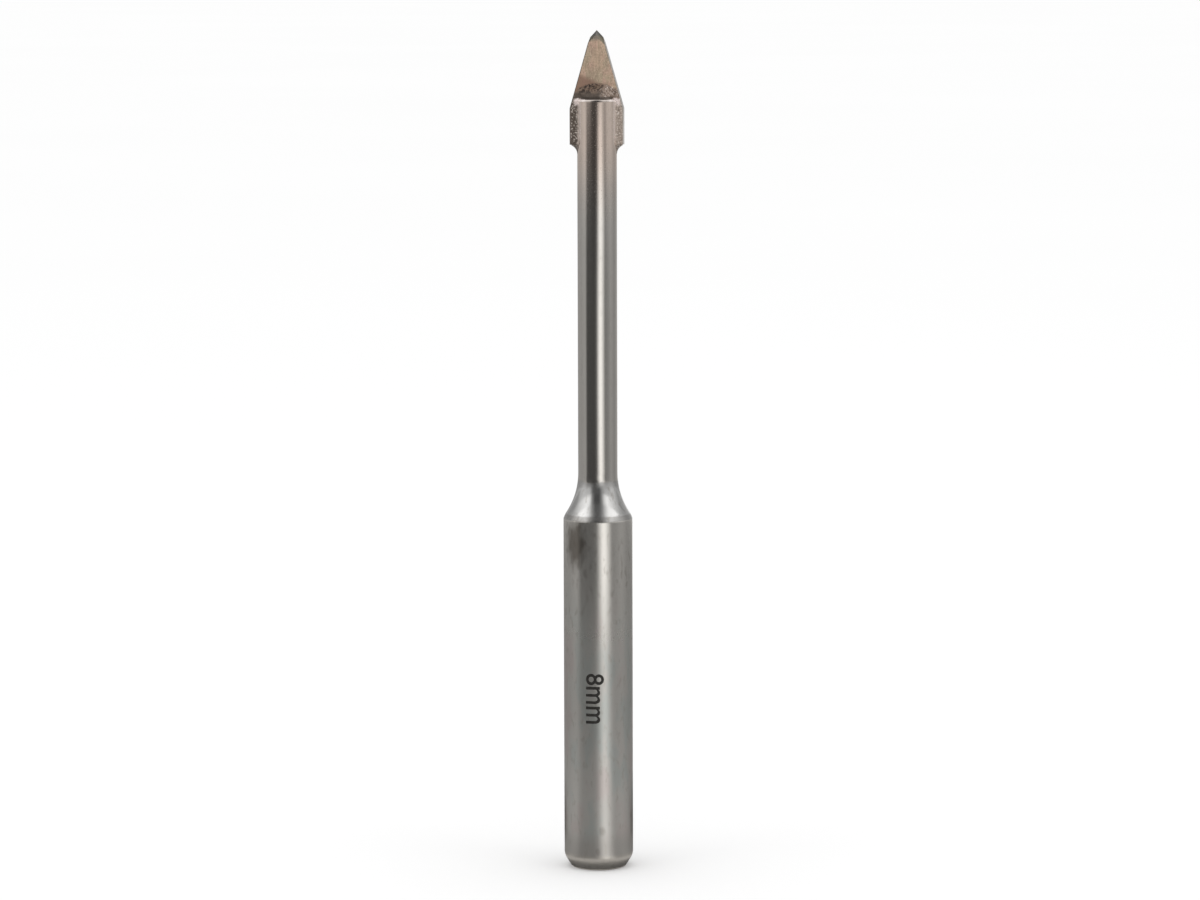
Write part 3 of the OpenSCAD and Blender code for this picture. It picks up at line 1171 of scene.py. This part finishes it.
steel_body = turn_steel_body()
carbide_plate = grind_carbide_plate()
braze = run_braze(steel_body, carbide_plate)
size_mark = etch_size_mark(steel_body)
apply_modifier(carbide_plate, "BEVEL", width=EDGE_BEVEL, segments=EDGE_BEVEL_STEPS, limit_method="ANGLE")

finish_piece(steel_body, ground_steel_finish(), SHARP_ANGLE)
finish_piece(carbide_plate, carbide_finish(), SHARP_ANGLE)
finish_piece(braze, braze_finish(), BRAZE_SHARP_ANGLE)
finish_piece(size_mark, etched_finish(), SHARP_ANGLE)
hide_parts("steel_body")
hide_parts("carbide_tip")
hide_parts("braze_joint")


# Studio, in metres

IMAGE_WIDTH = 1200
CAMERA_DISTANCE = 0.6
CAMERA_ELEVATION = math.radians(7)
CAMERA_ROLL = math.radians(-0.14)
CAMERA_CLIP = (0.01, 100)
AIM_X = 0.31 * MM
AIM_Z = 61.04 * MM
SENSOR_WIDTH = 36
FOCAL_PIXELS = 4155.6

# Plain light and pale floor
WORLD_LEVEL = 1.05
LAMP_AZIMUTH = 60
LAMP_ELEVATION = math.radians(45)
LAMP_DISTANCE = 0.9
LAMP_SIZE = 0.4
LAMP_POWER = 0.3
FLOOR_SIZE = 40
FLOOR_ROUGH = 0.9
FLOOR_PATCHES = (0.002, 0.002, 0.002)
FLOOR_DARK = (0.93, 0.93, 0.93, 1)
FLOOR_PALE = (0.95, 0.95, 0.95, 1)

# Level of the cards that the steel mirrors, by azimuth in degrees from the front
FLOOR_BANDS = (
    (-180, 0.95), (-172, 0.40), (-164, 0.22), (-110, 0.20), (-72, 0.29), (-58, 0.08), (-14, 0.07),
    (-3, 0.10), (9, 0.66), (14, 1.08), (24, 1.08), (34, 0.66), (46, 0.18), (62, 0.21), (82, 0.26),
    (115, 0.16), (150, 0.18), (158, 0.30), (165, 0.90), (180, 0.95),
)
NEAR_BANDS = (
    (-180, 0.95), (-174, 0.40), (-168, 0.03), (-142, 0.03), (-128, 0.18), (-72, 0.32), (-58, 0.08),
    (-14, 0.07), (-3, 0.10), (9, 0.62), (14, 1.02), (24, 1.04), (34, 0.66), (46, 0.18), (62, 0.22),
    (82, 0.29), (108, 0.18), (124, 0.04), (160, 0.02), (168, 0.50), (174, 0.95), (180, 0.95),
)
LOW_BANDS = (
    (-180, 0.95), (-172, 0.50), (-164, 0.32), (-110, 0.30), (-75, 0.33), (-62, 0.06), (-14, 0.05),
    (-3, 0.10), (9, 0.75), (14, 1.08), (24, 1.08), (34, 0.70), (46, 0.19), (62, 0.22), (82, 0.31),
    (115, 0.24), (150, 0.38), (158, 0.45), (165, 0.95), (180, 0.95),
)
NECK_BANDS = (
    (-180, 0.95), (-172, 0.50), (-164, 0.32), (-110, 0.30), (-75, 0.33), (-64, 0.06), (-18, 0.06),
    (-7, 0.12), (5, 0.75), (11, 1.08), (21, 1.08), (31, 0.66), (43, 0.18), (62, 0.22), (82, 0.31),
    (115, 0.24), (150, 0.38), (158, 0.45), (165, 0.95), (180, 0.95),
)
MIDDLE_BANDS = (
    (-180, 0.95), (-172, 0.55), (-164, 0.44), (-110, 0.46), (-73, 0.68), (-58, 0.10), (-14, 0.04),
    (-3, 0.10), (9, 0.74), (14, 0.96), (24, 0.92), (34, 0.44), (46, 0.26), (60, 0.58), (82, 0.56),
    (115, 0.36), (150, 0.44), (158, 0.50), (165, 0.95), (180, 0.95),
)
SIDE_BANDS = (
    (-180, 0.28), (-118, 0.28), (-90, 0.56), (-45, 0.46), (-28, 0.10), (8, 0.08), (34, 0.40),
    (85, 0.56), (118, 0.28), (148, 0.36), (156, 0.60), (168, 0.60), (176, 0.36), (180, 0.28),
)
UPPER_BANDS = (
    (-180, 0.30), (-120, 0.34), (-86, 0.76), (-58, 0.95), (-44, 0.90), (-30, 0.22), (-16, 0.06),
    (6, 0.06), (18, 0.2), (34, 0.75), (46, 1.0), (60, 0.82), (88, 0.56), (118, 0.31), (180, 0.30),
)
HIGH_BANDS = (
    (-180, 0.30), (-130, 0.36), (-106, 0.95), (-86, 1.1), (-60, 1.08), (-46, 0.74), (-30, 0.26),
    (-14, 0.09), (6, 0.10), (20, 0.2), (36, 0.56), (52, 0.98), (84, 1.1), (104, 0.72), (130, 0.33),
    (180, 0.30),
)

# Cards about the bit, from its foot outwards and up: each starts on the ring where the one before it ends
CARD_SIDES = 96
CARD_Z = 0.0002
FOOT_CARD_R = 0.0075
WALL_R = 0.35
HIGH_WALL_R = 0.6
REFLECTORS = (
    ("foot_ring_reflector", FLOOR_BANDS, ((0.022, CARD_Z),)),
    ("near_reflector", NEAR_BANDS, ((0.06, CARD_Z),)),
    ("floor_reflector", FLOOR_BANDS, ((WALL_R, CARD_Z),)),
    ("skirting_reflector", LOW_BANDS, ((WALL_R, 0.012),)),
    ("neck_reflector", NECK_BANDS, ((WALL_R, 0.062),)),
    ("low_reflector", LOW_BANDS, ((WALL_R, 0.08),)),
    ("middle_reflector", MIDDLE_BANDS, ((WALL_R, 0.1),)),
    ("side_reflector", SIDE_BANDS, ((HIGH_WALL_R, 0.3),)),
    ("upper_reflector", UPPER_BANDS, ((HIGH_WALL_R, 0.52),)),
    ("high_reflector", HIGH_BANDS, ((HIGH_WALL_R, 0.9), (0.25, 1.3))),
)

# Level of the card under the end chamfer, by radius in millimetres
FOOT_RINGS = ((0.0039, CARD_Z), (FOOT_CARD_R, CARD_Z))
FOOT_LEVELS = ((3.9, 0.0), (4.4, 0.04), (5.2, 0.12), (5.8, 0.42), (7.5, 0.42))


def glow_along(name, measure, levels):
    """Light that goes straight from each level of a list to the next along a measure."""
    material = bpy.data.materials.new(name)
    material.use_nodes = True
    tree = material.node_tree
    tree.nodes.remove(tree.nodes["Principled BSDF"])
    start, end = levels[0][0], levels[-1][0]
    x, y, _ = parts_of(tree, place_in_mm(tree))
    if measure == "azimuth":
        value = reckon(tree, "DEGREES", reckon(tree, "ARCTAN2", x, times(tree, y, -1.0)))
    else:
        value = reckon(tree, "SQRT", plus(tree, times(tree, x, x), times(tree, y, y)))
    part = add_node(tree, "ShaderNodeMapRange", {"Value": value, "From Min": start, "From Max": end})
    ramp = add_node(tree, "ShaderNodeValToRGB", {0: part.outputs[0]})
    stops = ramp.color_ramp.elements
    for at, _ in levels[1:-1]:
        stops.new((at - start) / (end - start))
    for stop, (at, level) in zip(stops, levels):
        stop.position = (at - start) / (end - start)
        stop.color = (level, level, level, 1)
    glow = add_node(tree, "ShaderNodeEmission", {"Strength": ramp.outputs["Color"]})
    tree.links.new(glow.outputs[0], tree.nodes["Material Output"].inputs["Surface"])
    return material


def reflector(name, rings, measure, levels):
    """Round card about the bit that only reflections show, through rings of a radius and height."""
    radius, height = rings[0]
    bpy.ops.mesh.primitive_circle_add(vertices=CARD_SIDES, radius=radius, location=(0, 0, height))
    card = bpy.context.object
    card.name = name
    bpy.ops.object.transform_apply()
    edit(card)
    for next_radius, next_height in rings[1:]:
        rise = (0, 0, next_height - height)
        scale = next_radius / radius
        bpy.ops.mesh.extrude_edges_move(TRANSFORM_OT_translate={"value": rise})
        bpy.ops.transform.resize(value=(scale, scale, 1), center_override=(0, 0, next_height))
        radius, height = next_radius, next_height
    stop_editing()
    card.data.materials.append(glow_along(name, measure, levels))
    card.visible_camera = False
    card.visible_diffuse = False
    card.visible_shadow = False
    card.visible_transmission = False


def soft_box(name, azimuth):
    """Large square lamp that looks at the bit. The reflectors stand for it in the steel."""
    turn, rise = math.radians(azimuth), LAMP_ELEVATION
    aim = Vector((0, 0, AIM_Z))
    out = Vector((math.sin(turn) * math.cos(rise), -math.cos(turn) * math.cos(rise), math.sin(rise)))
    bpy.ops.object.light_add(type="AREA", location=aim + out * LAMP_DISTANCE)
    lamp = bpy.context.object
    lamp.name = name
    lamp.data.shape = "SQUARE"
    lamp.data.size = LAMP_SIZE
    lamp.data.energy = LAMP_POWER
    lamp.visible_glossy = False
    lamp.rotation_euler = out.to_track_quat("Z", "Y").to_euler()


def lay_floor():
    bpy.ops.mesh.primitive_plane_add(size=FLOOR_SIZE)
    floor = bpy.context.object
    floor.name = "pale_floor"
    material, tree, shader = new_finish("pale_floor")
    tone = noise(tree, place_in_mm(tree), FLOOR_PATCHES)
    base = blend_colour(tree, tone, FLOOR_DARK, FLOOR_PALE)
    tree.links.new(base, shader.inputs["Base Color"])
    shader.inputs["Roughness"].default_value = FLOOR_ROUGH
    shader.inputs["Specular IOR Level"].default_value = 0.0
    floor.data.materials.append(material)


def light_world():
    world = bpy.data.worlds.new("studio")
    bpy.context.scene.world = world
    world.use_nodes = True
    background = world.node_tree.nodes["Background"]
    background.inputs["Color"].default_value = (1, 1, 1, 1)
    background.inputs["Strength"].default_value = WORLD_LEVEL


def set_camera():
    aim = Vector((AIM_X, 0, AIM_Z))
    back = Vector((0, -math.cos(CAMERA_ELEVATION), math.sin(CAMERA_ELEVATION)))
    bpy.ops.object.camera_add(location=aim + back * CAMERA_DISTANCE)
    camera = bpy.context.object
    roll = Matrix.Rotation(CAMERA_ROLL, 3, "Z")
    camera.rotation_euler = (back.to_track_quat("Z", "Y").to_matrix() @ roll).to_euler()
    camera.data.sensor_width = SENSOR_WIDTH
    camera.data.lens = FOCAL_PIXELS / IMAGE_WIDTH * SENSOR_WIDTH
    camera.data.clip_start, camera.data.clip_end = CAMERA_CLIP
    bpy.context.scene.camera = camera


lay_floor()
light_world()
soft_box("soft_box_left", -LAMP_AZIMUTH)
soft_box("soft_box_right", LAMP_AZIMUTH)
first_ring = (FOOT_CARD_R, CARD_Z)
for card_name, card_bands, card_rings in REFLECTORS:
    reflector(card_name, (first_ring, *card_rings), "azimuth", card_bands)
    first_ring = card_rings[-1]
reflector("foot_reflector", FOOT_RINGS, "radius", FOOT_LEVELS)
set_camera()

bpy.context.scene.view_settings.view_transform = "Standard"
